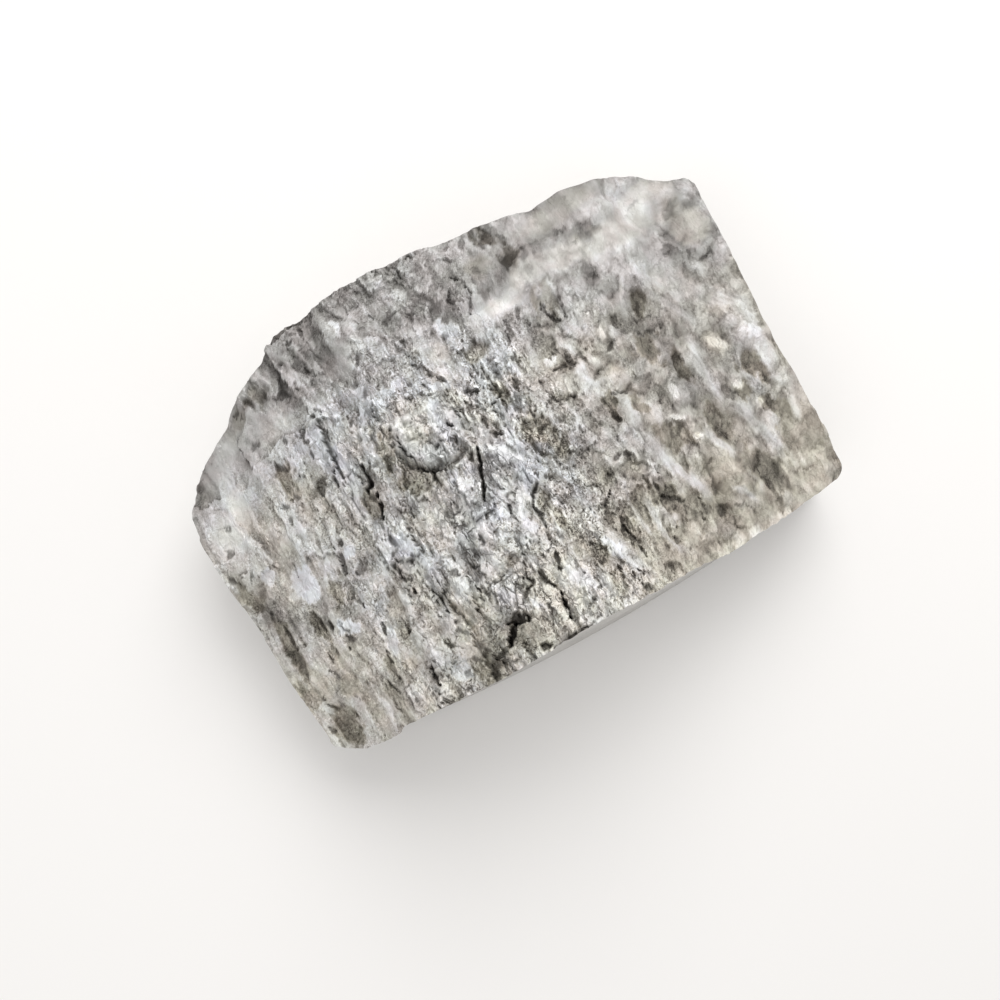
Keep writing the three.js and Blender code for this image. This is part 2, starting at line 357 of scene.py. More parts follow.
# Pits: middle, length, width, depth, turn.
PITS = [
    (519, 619, 21, 11, 1.5, 14),
    (514, 633, 22, 6, 1.9, 75),
    (503, 652, 24, 5, 1.0, 50),
    (496, 668, 28, 9, 0.6, 100),
    (546, 648, 14, 7, 1.2, 30),
    (378, 267, 15, 5, 1.2, 5),
    (282, 369, 7, 6, 0.8, 0),
    (286, 397, 15, 10, 1.0, -30),
    (307, 434, 12, 5, 0.9, 70),
    (316, 418, 7, 5, 0.8, 30),
    (382, 345, 5, 5, 0.8, 0),
    (273, 618, 10, 7, 0.8, 70),
    (323, 488, 12, 11, 0.7, 0),
    (338, 480, 12, 5, 0.9, -70),
    (371, 487, 9, 6, 1.0, 60),
    (451, 644, 13, 8, 0.7, -50),
    (343, 542, 7, 6, 0.6, 45),
    (351, 647, 6, 5, 0.6, 0),
    (670, 210, 26, 11, 0.9, 70),
    (666, 250, 13, 10, 0.8, 80),
    (687, 255, 11, 6, 0.7, -70),
    (704, 259, 13, 6, 0.7, 15),
    (570, 361, 14, 8, 0.6, -30),
    (724, 388, 18, 8, 0.6, -75),
    (483, 243, 17, 7, 0.6, -75),
    (503, 238, 11, 6, 0.6, -20),
    (475, 394, 8, 6, 0.8, 0),
    (574, 244, 6, 5, 0.5, 0),
    (648, 378, 8, 5, 0.6, 0),
    (638, 322, 16, 9, 0.9, -15),
    (592, 276, 14, 7, 0.8, -15),
    (638, 284, 15, 6, 0.7, -5),
    (706, 509, 13, 10, 0.7, -20),
    (722, 511, 14, 8, 0.8, -85),
    (500, 661, 12, 4, 0.7, -10),
    (410, 260, 11, 4, 0.8, 10),
    (462, 245, 14, 5, 0.5, -85),
]
# Hollows where the metal lies lower, browner and painted darker as shade: middle, length, width, depth, turn.
HOLLOWS = [
    (306, 692, 32, 12, 0.5, -58),
    (386, 452, 40, 16, 0.5, -55),
    (240, 420, 30, 14, 0.3, 60),
    (412, 478, 36, 22, 0.7, -10),
    (545, 437, 44, 28, 0.5, -50),
    (503, 393, 24, 16, 0.7, -60),
    (474, 354, 20, 16, 0.7, 60),
    (492, 664, 28, 22, 0.8, 60),
    (632, 535, 34, 15, 0.6, -45),
    (675, 505, 54, 20, 0.7, -35),
    (675, 436, 36, 20, 0.6, 0),
    (715, 416, 32, 13, 0.6, -65),
    (680, 370, 30, 14, 0.6, -60),
    (752, 366, 26, 20, 0.5, -45),
    (766, 470, 50, 28, 0.5, -30),
    (611, 406, 26, 12, 0.6, -60),
    (640, 405, 20, 11, 0.5, 0),
    (603, 555, 20, 11, 0.4, -30),
    (288, 478, 34, 16, 0.4, -70),
    (290, 645, 50, 16, 0.8, -60),
    (325, 632, 26, 13, 0.5, -55),
    (339, 592, 30, 16, 0.5, -70),
    (250, 600, 30, 16, 0.5, -50),
    (256, 396, 24, 14, 0.5, -60),
    (485, 239, 34, 12, 0.5, -10),
    (511, 259, 36, 15, 0.5, -70),
    (351, 724, 36, 24, 0.9, -60),
    (545, 297, 26, 18, 0.4, -60),
    (552, 512, 46, 18, 0.3, -70),
    (638, 305, 20, 12, 0.5, -80),
    (745, 392, 16, 12, 0.5, 60),
    (777, 405, 26, 15, 0.6, -15),
    (790, 440, 30, 16, 0.4, -50),
    (648, 350, 26, 20, 0.4, -40),
]
# Pale plates, torn clean: middle, length, width, turn.
PLATES = [
    (441, 429, 38, 11, -49),
    (391, 391, 24, 8, 35),
    (440, 386, 24, 12, 20),
    (433, 408, 19, 12, 80),
    (468, 467, 20, 14, -35),
    (453, 477, 18, 10, 80),
    (497, 515, 18, 14, 90),
    (528, 487, 24, 9, 100),
    (530, 526, 20, 13, -45),
    (303, 450, 18, 13, -35),
    (317, 437, 14, 13, 0),
    (340, 461, 27, 14, -62),
    (336, 328, 20, 8, -42),
    (508, 597, 22, 17, -30),
    (405, 549, 28, 16, -50),
    (306, 585, 40, 26, -50),
    (350, 627, 26, 13, -10),
    (351, 551, 17, 12, 70),
    (580, 578, 38, 15, -32),
    (514, 371, 18, 9, -50),
    (550, 362, 13, 10, 0),
    (393, 641, 32, 11, -75),
    (463, 602, 24, 14, -60),
    (463, 672, 26, 16, -30),
    (537, 602, 16, 8, -20),
    (446, 330, 28, 18, -20),
    (270, 578, 18, 13, 60),
    (612, 548, 30, 14, -45),
]
# Facets that catch the light, with painted highlights: middle, length, width, turn.
GLINTS = [
    (715, 343, 25, 11, -30),
    (738, 384, 13, 11, 0),
    (759, 402, 13, 11, 60),
    (674, 391, 17, 9, -62),
    (677, 418, 18, 7, -8),
    (635, 467, 11, 8, 20),
    (602, 333, 14, 6, -72),
    (568, 388, 19, 6, -65),
    (553, 388, 14, 4, -75),
    (594, 358, 9, 5, -70),
    (698, 436, 12, 8, 0),
    (499, 384, 14, 5, -55),
    (586, 313, 9, 6, -40),
    (515, 217, 11, 6, 0),
    (503, 417, 7, 4, -60),
    (519, 421, 7, 4, -70),
    (296, 596, 13, 9, 0),
]
# Webs of pale metal between the hollows: points along, width, rise.
WEBS = [
    (((575, 365), (597, 392)), 14, 0.5),
    (((622, 400), (635, 425), (650, 447), (668, 465), (690, 478), (705, 492), (716, 508)), 13, 0.7),
    (((600, 425), (612, 440), (628, 452)), 9, 0.5),
    (((700, 428), (715, 440), (728, 450), (738, 457)), 8, 0.5),
    (((682, 330), (692, 348), (700, 368), (712, 388), (727, 402)), 10, 0.7),
    (((727, 402), (745, 414), (760, 430), (775, 446), (787, 456)), 12, 0.7),
    (((640, 492), (652, 512), (660, 530), (672, 545), (690, 556)), 7, 0.5),
    (((600, 530), (618, 545), (632, 562), (645, 575)), 11, 0.4),
    (((570, 490), (588, 508), (600, 520)), 4, 0.3),
    (((728, 488), (745, 492), (757, 503)), 8, 0.4),
    (((470, 425), (490, 443), (510, 455), (530, 464)), 14, 0.3),
    (((528, 466), (522, 490), (520, 512), (530, 528)), 9, 0.4),
    (((336, 448), (352, 480), (359, 508), (372, 525), (388, 534), (402, 548), (414, 562)), 8, 0.5),
    (((640, 290), (660, 302), (680, 314), (700, 326)), 10, 0.5),
    (((700, 308), (720, 298), (742, 304), (755, 328), (770, 345)), 13, 0.4),
    (((457, 385), (463, 405), (472, 425), (481, 442)), 3, 0.4),
    (((505, 325), (522, 340), (538, 362)), 7, 0.4),
    (((545, 325), (562, 345), (575, 352)), 8, 0.4),
    (((618, 250), (622, 270), (620, 300), (628, 330)), 6, 0.3),
    (((566, 545), (555, 525), (548, 505)), 5, 0.3),
    (((655, 540), (640, 520), (628, 500), (622, 480)), 4, 0.3),
]
# Round lumps: middle, length, width, rise, turn.
LUMPS = [
    (497, 421, 20, 16, 0.8, -40),
    (519, 421, 18, 20, 0.7, 0),
    (592, 467, 38, 34, 0.8, 0),
    (620, 378, 30, 26, 0.8, 0),
    (655, 372, 28, 22, 0.6, -60),
    (634, 469, 24, 20, 0.9, 0),
    (738, 385, 20, 18, 0.5, 0),
    (759, 403, 18, 18, 0.5, 0),
    (735, 477, 44, 32, 0.6, -50),
    (690, 226, 40, 36, 0.4, 0),
    (716, 305, 30, 26, 0.4, 0),
    (747, 517, 22, 20, 0.6, 0),
    (602, 333, 22, 14, 0.5, -70),
    (560, 388, 26, 24, 0.8, -60),
    (374, 508, 26, 15, 0.5, -65),
    (540, 630, 44, 32, 0.4, 20),
    (715, 343, 34, 22, 0.4, -30),
    (586, 313, 30, 26, 0.5, -60),
    (790, 430, 26, 20, 0.4, 0),
    (625, 350, 26, 18, 0.5, -60),
    (321, 684, 34, 24, 0.5, -20),
]
KNOT = (429, 431, 35)  # middle and radius of the crumbly lump at the crest
KNOT_DROP = 0.9  # depth of the undercut below it
# The pale smear below the far edge: points along, width.
SMEAR = (((476, 322), (512, 293), (530, 267), (555, 257), (584, 249), (613, 238), (642, 217), (660, 200)), 44)
# Patches cast smooth, or calmer than the rest: middle, length, width, calm, tone, warmth, turn.
PATCHES = [
    (222, 452, 84, 34, 0.7, -0.2, -0.2, 62),
    (236, 524, 74, 34, 0.7, 1.3, -0.1, 85),
    (268, 430, 60, 36, 0.4, 0.4, 0.0, 40),
    (555, 212, 120, 34, 0.9, 1.1, -0.1, 38),
    (640, 192, 60, 22, 0.9, 0.5, 0.0, 35),
    (632, 216, 74, 42, 0.6, 0.6, -0.2, 30),
    (650, 262, 54, 30, 0.5, 0.6, -0.4, -30),
    (692, 292, 64, 24, 0.4, 0.8, -0.4, -15),
    (200, 525, 90, 12, 0.3, -0.9, 0.0, 95),
    (257, 392, 34, 18, 0.3, -1.2, 0.0, -60),
    (372, 504, 26, 14, 0.0, -0.8, 1.2, -75),
    (338, 366, 38, 26, 0.7, -0.9, -0.6, -60),
    (478, 268, 34, 34, 0.7, 0.5, 0.2, -40),
    (690, 228, 46, 42, 0.7, 0.9, 0.3, 0),
    (540, 632, 44, 36, 0.0, -0.2, 1.0, 0),
    (308, 586, 50, 36, 0.4, 0.5, -0.4, -50),
    (584, 232, 34, 13, 0.0, -0.9, 0.4, 25),
    (411, 663, 12, 10, 0.0, -0.5, 1.4, 0),
    (350, 688, 18, 24, 0.0, -0.6, 0.9, 0),
    (482, 650, 100, 34, 0.4, -0.9, 0.8, -70),
    (430, 352, 46, 18, 0.4, 0.5, 0.3, 0),
    (583, 578, 60, 34, 0.3, 0.9, -0.2, -32),
    (500, 446, 70, 26, 0.2, 0.6, -0.1, -35),
]
# Broad areas paler or darker than the rest, partly the metal's own tone and partly painted light and
# shade against how the lamps light the break, placed while the render was held against the
# photograph: middle, length, width, tone, turn.
TONE_AND_PAINTED_LIGHT = [
    (625, 200, 70, 44, 3.4, 20),
    (696, 212, 44, 36, 1.8, -50),
    (640, 266, 66, 38, 2.6, 0),
    (660, 425, 50, 26, 1.3, -50),
    (545, 298, 66, 30, 2.8, 20),
    (585, 335, 40, 30, 2.6, 90),
    (530, 222, 50, 24, 1.8, 20),
    (756, 335, 96, 34, 2.3, -62),
    (798, 450, 76, 40, 2.0, -50),
    (674, 520, 40, 30, 1.8, 0),
    (686, 474, 40, 36, 2.1, 0),
    (612, 388, 56, 34, 1.8, -20),
    (512, 473, 56, 32, 3.6, -30),
    (402, 438, 50, 36, 1.8, -40),
    (335, 409, 80, 32, 2.0, 5),
    (338, 458, 56, 32, 3.0, -60),
    (308, 476, 34, 28, 1.6, 0),
    (285, 426, 50, 28, 1.5, 0),
    (230, 460, 34, 24, 2.0, -60),
    (404, 566, 44, 36, 3.4, -30),
    (455, 611, 44, 36, 3.4, -30),
    (472, 642, 44, 26, 1.6, -80),
    (462, 510, 44, 36, 3.0, 0),
    (474, 546, 40, 24, 2.7, -80),
    (755, 545, 120, 36, 2.0, 33),
    (436, 288, 64, 52, -3.0, 20),
    (385, 272, 50, 36, -2.2, 25),
    (312, 314, 76, 44, -2.8, 40),
    (345, 368, 36, 26, 1.3, 0),
    (302, 366, 40, 34, -1.4, 0),
    (578, 236, 44, 32, -1.3, 0),
    (523, 268, 32, 34, -1.5, 0),
    (637, 326, 40, 34, -1.3, 0),
    (684, 388, 30, 30, -1.2, 0),
    (350, 735, 40, 30, -1.2, 0),
    (488, 404, 44, 24, -1.3, 0),
    (386, 380, 70, 36, -2.3, 10),
    (390, 490, 34, 30, -1.3, 0),
    (274, 612, 44, 40, -3.0, 0),
    (330, 620, 76, 46, -3.0, 0),
    (346, 688, 30, 50, -2.0, 0),
    (292, 652, 50, 30, -1.8, -50),
    (570, 464, 44, 36, -3.6, 0),
    (616, 512, 60, 44, -2.7, -60),
    (588, 544, 80, 42, -3.4, -35),
    (552, 410, 80, 34, -1.5, -70),
    (538, 634, 46, 36, -3.0, 20),
    (480, 690, 50, 30, -2.3, 10),
    (400, 680, 36, 40, -1.8, 0),
    (430, 662, 36, 24, 2.2, -30),
    (475, 340, 56, 30, -1.5, 60),
    (530, 345, 50, 30, -1.8, -30),
    (350, 330, 46, 28, -1.0, -40),
    (412, 318, 40, 26, -1.4, 20),
    (262, 386, 30, 24, 1.5, 0),
    (280, 559, 50, 24, -1.7, 20),
    (522, 436, 50, 26, -1.4, -10),
]


def on_break(base, across, down):
    """Where a pixel of the photograph falls on the break, in the part's frame, and the pixels to a
    millimetre there."""
    ray = view * FOCAL + right * (across - FRAME / 2) + up * (FRAME / 2 - down)
    z = np.float64(CREST)
    for _ in range(8):
        reach = (z - CAMERA_AT[2]) / ray[2]
        x, y = CAMERA_AT[0] + reach * ray[0], CAMERA_AT[1] + reach * ray[1]
        z = look_up(base, x, y)
    return x, y, 1 / reach


def routed(base, marks):
    """The marks that follow points, in millimetres."""
    for points, width, *values in marks:
        route = [on_break(base, *point) for point in points]
        yield [place[:2] for place in route], width / route[0][2], *values


def beside(x, y, route):
    """Each point's distance from the route, and how far along it, from 0 to 1, it lies."""
    steps = [math.dist(a, b) for a, b in zip(route, route[1:])]
    away, along = np.full(x.shape, np.inf), np.zeros(x.shape)
    before = 0.0
    for (x0, y0), (x1, y1), step in zip(route, route[1:], steps):
        t = np.clip(((x - x0) * (x1 - x0) + (y - y0) * (y1 - y0)) / step**2, 0, 1)
        here = np.hypot(x - x0 - t * (x1 - x0), y - y0 - t * (y1 - y0))
        along = np.where(here < away, (before + t * step) / sum(steps), along)
        away = np.minimum(away, here)
        before += step
    return away, along


def oval(x, y, mx, my, length, width, turn):
    """How far the points lie from an oval's middle, 1 on its edge. The turn is the picture's."""
    turn = math.radians(turn) - GRAIN_TURN
    c, s = math.cos(turn), math.sin(turn)
    dx, dy = x - mx, y - my
    return np.sqrt(((dx * c + dy * s) / (width / 2)) ** 2 + ((dy * c - dx * s) / (length / 2)) ** 2)


def soften(grid, reach):
    """Gaussian blur of the break's grid, with its reach in millimetres."""
    for axis, spacing in ((0, THICKNESS / ROWS), (1, WIDTH / COLUMNS)):
        half = max(1, int(3 * reach / spacing))
        kernel = np.exp(-0.5 * (np.arange(-half, half + 1) * spacing / reach) ** 2)
        pad = [(0, 0), (0, 0)]
        pad[axis] = (half, half)
        padded = np.pad(grid, pad, "edge")
        grid = np.apply_along_axis(np.convolve, axis, padded, kernel / kernel.sum(), "valid")
    return grid


# ---- The break's fine relief ----
class Face:
    """The break as grids over its broad shape, in the part's frame.

    relief is a height in millimetres. tone is lightness, from -5 to 4, and warm goes from blue (-1)
    to brown (1). cavity (painted shade in cracks, pits, pores and other recesses), shine, calm (cast
    smooth), sleek (drawn smooth) and outline (the painted shade rings below the lumps) go from 0 to 1.
    """

    def __init__(self, x, y, base):
        self.x, self.y, self.base = x, y, base
        # The grain wanders: noise is read at wx, wy, and outlines are shaken by sway.
        self.drift = 1.3 * noise(x / 9, y / 16, 5) + 0.5 * noise(x / 3.2, y / 6, 6)
        self.sway = 0.3 * layered(x / 1.5, y / 1.9, 9, 3, 0.7)
        self.wx = x + self.drift + self.sway
        self.wy = y + 1.5 * self.drift - 1.5 * self.sway
        # Away from the crest the grain is finer and calmer, soonest on the right.
        self.far = 1 - np.exp(-(((x + 5) / np.where(x < -5, 17, 15)) ** 2))
        self.left_end = smooth(-x, 9, 18)
        self.soft_side = smooth(x, 4, 12)  # right of the crest the break is soft lumps and webs
        self.worn = np.clip(smooth(y, 8, 18) + smooth(x, 12, 24) + smooth(-x, 20, 32), 0, 1)
        self.crumbly = smooth(layered(x / 5, y / 8, 15, 2), -0.35, 0.45)
        self.relief, self.tone, self.warm = (np.zeros_like(x) for _ in range(3))
        self.cavity_shade, self.shine, self.calm = (np.zeros_like(x) for _ in range(3))
        self.sleek, self.outline = np.zeros_like(x), np.zeros_like(x)

    def shaken(self, amount, lengthwise=None):
        """The places, shaken by so much across and along the grain."""
        lengthwise = amount if lengthwise is None else lengthwise
        return self.x + amount * self.sway, self.y + lengthwise * self.sway

    def ovals(self, marks, shake, lengthwise=None, larger=1.0):
        """For each oval mark, how far off the points lie (1 on its edge), its middle and width in
        millimetres, and its other values."""
        x, y = self.shaken(shake, lengthwise)
        for across, down, length, width, *values, turn in marks:
            mx, my, per_mm = on_break(self.base, across, down)
            length, width = length / per_mm, width / per_mm
            away = oval(x, y, mx, my, larger * length, larger * width, turn)
            yield away, (mx, my, width), *values

    def fray(self, *layers):
        """Noise to fray an outline with, in layers of (strength, size, seed)."""
        return sum(strength * noise(self.x / size, self.y / size, seed) for strength, size, seed in layers)

    def add_cavity_shade(self, share):
        """Make the painted cavity shade at least so dark."""
        self.cavity_shade = np.maximum(self.cavity_shade, share)


# Flakes, from large to small: width, length, lift, spread of tone, seed.
FLAKES = (
    (4.6, 13.0, 0.8, 0.06, 101),
    (2.3, 6.0, 0.65, 0.14, 211),
    (1.15, 2.8, 0.5, 0.3, 307),
    (0.6, 1.3, 0.28, 0.4, 401),
)
SMALL_FLAKE = 2  # narrower ones are small
# The darkness of the gaps between the soft lumps is painted shade.
SOFT_LUMPS = ((2.3, 1.3, 601), (1.2, 0.7, 607))  # size, darkness of the gaps between, seed
WISPS = ((3.4, 20.0, 61), (1.9, 11.0, 67))  # width, length, seed
CURDS = ((2.0, 0.3, 37), (1.0, 0.4, 38), (0.6, 0.3, 39))  # on the knot: size, lift, seed
LUMP_TOP = (0.42, 0.9)  # which way the upper side of a lump faces, in x and y


def torn_flakes(f):
    for width, length, lift, light, seed in FLAKES:
        if width < SMALL_FLAKE:
            lift = lift * (0.5 + 0.7 * f.crumbly) * (1 - 0.5 * f.far) * (1 - 0.25 * f.soft_side)
            light = light * (1 - 0.4 * f.far)
        else:
            lift = lift * (1 - 0.45 * f.soft_side)
            light = light + 0.3 * f.left_end
        height, number, reach = shingles(f.wx, f.wy, width, length, seed)
        f.relief += lift * height
        f.tone += light * (2 * number - 1)
        if 1 < width < 3:
            # A few of the middling ones broke clean and shine, and a few are dull.
            clean = smooth(number, 0.93, 0.95) * smooth(1 - reach, 0.05, 0.2) * (1 - 0.7 * f.soft_side)
            dull = smooth(-number, -0.09, -0.07) * (1 - 0.5 * f.soft_side)
            f.tone += 0.8 * clean - 0.5 * dull
            f.warm -= 0.2 * clean
        if width < SMALL_FLAKE:
            # Their free edges are painted bright, as a highlight.
            edge = smooth(reach, 0.6, 0.8) * (1 - smooth(reach, 0.86, 0.96))
            f.tone += 0.5 * edge * (1 - f.soft_side) * (1 - 0.5 * f.far)
    f.relief += 0.07 * layered(f.wx / 0.7, f.wy / 1.1, 71, 2, 0.7) * (0.4 + f.crumbly)
    blotches = 1.2 * noise(f.wx / 1.3, f.wy / 2.0, 111) + 0.9 * noise(f.wx / 3.0, f.wy / 4.5, 113)
    f.tone += blotches * f.left_end


def soft_lumps(f):
    """Right of the crest the metal lies in small round lumps, with the gaps between painted dark as shade."""
    for size, dark, seed in SOFT_LUMPS:
        height, number, reach = shingles(*f.shaken(2), size, 1.15 * size, seed, 1.0, 0.8)
        f.relief += 0.2 * size * height * f.soft_side
        f.tone += (0.4 + 0.7 * (2 * number - 1) - dark * smooth(reach, 0.65, 1)) * f.soft_side


def streaks(f):
    """Streaks and long torn wisps along the grain."""
    streak = noise(f.wx / 0.8, f.wy / 5.5, 58) + 0.6 * noise(f.wx / 0.45, f.wy / 2.6, 59)
    f.relief += 0.09 * streak
    f.tone += (0.45 + 0.15 * f.soft_side) * streak
    for width, length, seed in WISPS:
        wisp = smooth(1 - 2.6 * np.abs(noise(f.wx / width, f.wy / length, seed)), 0.35, 1)
        wisp = wisp * smooth(noise(f.x / 5, f.y / 9, seed + 1), -0.1, 0.5) * (1 - 0.3 * f.soft_side)
        f.relief += 0.28 * wisp
        f.tone += (0.25 + 0.4 * f.far) * wisp
        f.sleek = np.maximum(f.sleek, wisp)


def broad_warmth(f):
    """The break is brown at the open face and on the right, and blue at the far edge."""
    f.warm += 0.5 * layered(f.x / 7, f.y / 10, 91, 3) + 0.05 + 0.05 * smooth(f.x, 4, 20)
    f.warm += 0.9 * smooth(-f.y, 6, 18) * (1 - 0.6 * f.left_end) - 1.3 * smooth(f.y, 7, 15)
    f.warm += 0.15 * f.left_end


def round_lumps(f):
    for away, (mx, my, width), rise in f.ovals(LUMPS, 1.2, 1):
        away = away + f.fray((0.25, 1.6, 45), (0.1, 0.7, 46))
        inside = smooth(1.12 - away, 0, 0.25)
        curds = shingles(*f.shaken(1), 0.9, 1.2, 43, 1.0, 0.6)[0]
        dome = rise * np.sqrt(np.clip(1.2 - away * away, 0, 1)) - 0.35 * rise
        f.relief += inside * (dome + 0.12 * curds - 0.6 * f.relief)
        lower = (mx - f.x) * LUMP_TOP[0] + (my - f.y) * LUMP_TOP[1]
        # On its lower side each lump has a groove, painted dark as shade through the outline.
        groove_and_shade = smooth(lower, -0.2 * width, 0.3 * width) * np.exp(-(((away - 1.14) / 0.12) ** 2))
        f.relief -= 0.6 * rise * groove_and_shade
        f.outline = np.maximum(f.outline, groove_and_shade)
        f.tone += 0.25 * inside
        f.warm += 0.3 * inside


def hollows(f):
    for away, _, depth in f.ovals(HOLLOWS, 1.5, larger=1.15):
        away = away + 0.8 * noise(f.wx, f.wy / 2.6, 47) + 0.3 * noise(f.x / 0.5, f.y / 0.8, 48)
        inside = smooth(1.3 - away, 0, 0.8)
        f.relief = f.relief * (1 - 0.3 * inside) - depth * inside
        # The hollows are painted darker, as shade, and browner.
        f.tone -= (0.8 + 0.4 * f.soft_side) * inside
        f.warm += (0.9 + 0.5 * f.soft_side) * inside


def webs(f):
    for route, width, rise in routed(f.base, WEBS):
        away, along = beside(*f.shaken(0.8), route)
        away = away / (width / 2) + f.fray((0.35, 1.3, 51))
        ends = smooth(along, -0.02, 0.2) * smooth(1 - along, -0.02, 0.2)
        inside = smooth(1.3 - away, 0, 0.9) * ends
        # Fine fibres are drawn out along the web.
        run = np.subtract(route[-1], route[0]) / math.dist(route[-1], route[0])
        across, lengthwise = f.x * run[1] - f.y * run[0], f.x * run[0] + f.y * run[1]
        fibres = noise((across + 0.3 * f.drift) / 0.36, lengthwise / 3.0, 57)
        ridge = rise * np.sqrt(np.clip(1 - (away / 1.5) ** 2, 0, 1)) * ends
        f.relief = f.relief * (1 - 0.5 * inside) + ridge + 0.16 * fibres * inside
        f.tone = f.tone * (1 - 0.4 * inside) + (2.5 - 1.5 * f.soft_side + 1.2 * fibres) * inside
        f.warm = f.warm * (1 - 0.7 * inside) - 0.2 * f.soft_side * inside
        f.sleek = np.maximum(f.sleek, inside)


def pores(f):
    """Pores and torn-out grains, painted dark as shade."""
    _, number, reach = shingles(f.wx + 0.5 * f.sway, f.wy, 1.5, 2.0, 501)
    pore = smooth(0.5 - reach, 0, 0.25) * smooth(number, 0.78, 0.82) * (1 - 0.6 * f.soft_side)
    f.relief -= 0.45 * pore
    f.add_cavity_shade(0.65 * pore)


def knot(f):
    """The lump at the crest, coarse and round, with an undercut below it, and painted light and shade."""
    kx, ky, per_mm = on_break(f.base, *KNOT[:2])
    radius = KNOT[2] / per_mm
    dx, dy = f.x - kx, f.y - ky
    away = (np.hypot(dx, dy) + f.fray((0.4, 3.1, 33), (0.25, 1.1, 34))) / radius
    toward_top = (dx * up_flat[0] + dy * up_flat[1]) / radius
    toward_right = (dx * right[0] + dy * right[1]) / radius
    blurred = 0.45 * smooth(toward_top + 0.7 * toward_right, -0.3, 0.3)
    inside = smooth((1.06 - away) / (0.12 + blurred), 0, 1)
    below = smooth(-(dx * LUMP_TOP[0] + dy * LUMP_TOP[1]) / radius, 0.2, 0.9)
    # It stands level out to its lower edge, and the ground round it slopes gently.
    ground = look_up(f.base, f.x, f.y)
    crown = look_up(f.base, kx, ky) - ground + 0.3 - 0.6 * away**2 * smooth(toward_top, -0.5, 0.3)
    f.relief += smooth(2.2 - away, 0, 1) * (soften(ground, 1.6) - ground)
    curd, gap_shade = 0.0, 0.0
    for size, lift, seed in CURDS:
        height, _, reach = shingles(*f.shaken(1), size, size, seed, 1.0, 0.5)
        curd = curd + lift * height
        gap_shade = np.maximum(gap_shade, smooth(reach, 0.85, 1) * smooth(size, 0.2, 1.5))
    lump = crown + curd + 0.1 * layered(f.x / 0.5, f.y / 0.5, 36, 2)
    f.relief = f.relief + inside * (lump - f.relief)
    # Its lower side is painted lighter, a painted light against the shade that falls there.
    f.tone = f.tone * (1 - 0.7 * inside) + (1.7 - 0.9 * toward_top) * inside
    # The undercut is painted dark as shade, the ground beneath it brown as painted shade, and the gaps
    # between the curds dark as shade.
    undercut_shade = np.exp(-(((away - 1.1) / 0.07) ** 2)) * below
    undercut_shade = undercut_shade * smooth(noise(f.x / 1.7, f.y / 1.7, 35), -0.9, -0.2)
    dip_and_shade_beneath = below * smooth(2.0 - away, 0, 0.8) * (1 - inside)
    f.relief -= KNOT_DROP * undercut_shade + 0.35 * dip_and_shade_beneath
    f.warm = f.warm * (1 - inside) + 0.5 * inside + 0.4 * dip_and_shade_beneath
    f.cavity_shade = f.cavity_shade * (1 - inside)
    f.add_cavity_shade(0.8 * undercut_shade)
    f.add_cavity_shade(0.5 * gap_shade * inside)


def cast_smooth(f):
    """Pale and calm metal: the smear below the far edge, the chilled rim and the left end."""
    (route, width), = routed(f.base, [SMEAR])
    away, along = beside(*f.shaken(0.5), route)
    ragged = away + f.fray((0.9, 2.6, 53), (0.35, 0.9, 52))
    smear = smooth(1.3 - ragged / (width / 2 * (0.55 + 0.6 * along)), 0, 0.9) * smooth(along, -0.1, 0.1)
    mottle = layered(f.x / 2.2, f.y / 1.8, 54, 3)
    f.relief = f.relief * (1 - 0.7 * smear)
    f.tone = f.tone * (1 - 0.6 * smear) + (2.7 + mottle) * smear
    f.warm = f.warm * (1 - smear) - 0.3 * smear
    f.calm = smear
    for away, _, still, light, warmth in f.ovals(PATCHES, 1):
        inside = smooth(1.5 - away, 0, 1)
        f.relief = f.relief * (1 - 0.75 * still * inside)
        f.tone = f.tone * (1 - 0.85 * still * inside) + light * inside
        f.warm = f.warm * (1 - still * inside) + warmth * inside
        f.calm = np.maximum(f.calm, still * inside)


def tone_and_painted_light(f):
    # The metal's own tone, and painted light and shade, in broad areas.
    for away, _, light in f.ovals(TONE_AND_PAINTED_LIGHT, 1.5):
        away = away + 0.3 * noise(f.x / 1.4, f.y / 2, 119)
        f.tone += light * np.exp(-0.8 * np.maximum(away, 0) ** 2)


def plates(f):
    for away, middle in f.ovals(PLATES, 1.2, 1.6, 1.1):
        inside = smooth(1 - away, 0, 0.16)
        f.relief += inside * (0.18 - 0.2 * (f.relief + 0.1)) + 0.12 * inside * (f.x - middle[0])
        f.tone += (2.9 - 0.8 * f.tone) * inside
        f.warm -= 0.5 * inside
        f.sleek = np.maximum(f.sleek, 0.3 * inside)


def glints(f):
    for away, (mx, my, _) in f.ovals(GLINTS, 0.7, larger=1.1):
        inside = smooth(1.2 - away, 0, 0.45)
        lean = (f.x - mx) * up_flat[0] + (f.y - my) * up_flat[1]
        facet = 0.2 + 0.12 * (f.x - mx) - 0.08 * lean
        f.relief = f.relief * (1 - inside) + inside * (0.3 * soften(f.relief, 1.0) + facet)
        # A painted highlight: each glint's tone is made bright.
        f.tone = f.tone * (1 - inside) + (2.3 + 0.9 * noise(f.x / 0.5, f.y / 0.7, 49)) * inside
        f.shine = np.maximum(f.shine, inside)


def pits(f):
    for away, _, depth in f.ovals(PITS, 1.3):
        away = away + f.fray((0.35, 0.9, 55), (0.25, 0.4, 56))
        inside = smooth(1.2 - away, 0, 0.35 + 0.5 * f.worn)
        f.relief -= depth * inside
        f.add_cavity_shade(min(1, 0.3 + 0.45 * depth) * smooth(inside, 0.1, 1) * (1 - 0.4 * f.worn))


